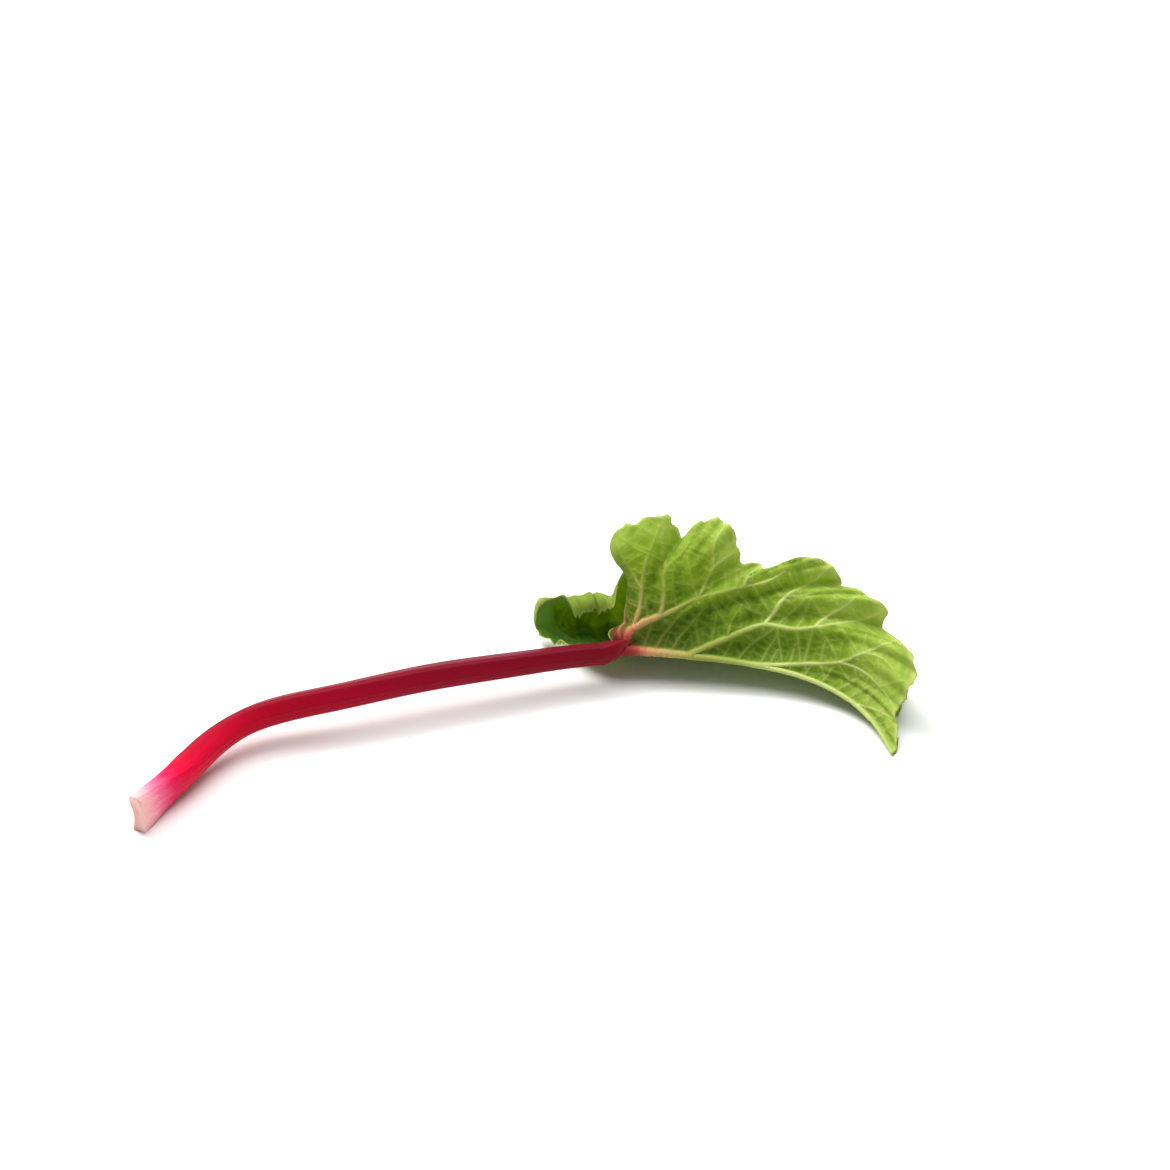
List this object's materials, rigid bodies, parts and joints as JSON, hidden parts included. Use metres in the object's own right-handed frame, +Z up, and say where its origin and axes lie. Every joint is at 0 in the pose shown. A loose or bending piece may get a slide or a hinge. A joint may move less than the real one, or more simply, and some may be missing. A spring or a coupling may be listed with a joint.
{
  "type": "rhubarb stalk",
  "caption": "Pulled rhubarb stalk with its folded leaf, lying on a table: a long ribbed stalk with a pale flared foot, and a lobed, waved blade with raised ribs.",
  "frame": {"origin": "on the table, under the centre of the part's box as seen from above", "axes": "+Z up from the table; +X from the stalk's foot towards the leaf; +Y away from the side the fold of the leaf faces"},
  "size_m": [0.4817, 0.2439, 0.0934],
  "materials": {
    "stalk_skin": "smooth fresh skin with a soft gloss, crimson, pale pink at the foot",
    "leaf_blade": "matt fresh leaf, yellow-green with pale ribs underneath, dark green on top"
  },
  "bodies": {
    "root": {"stalk": "stalk_skin", "leaf": "leaf_blade"}
  },
  "joints": []
}
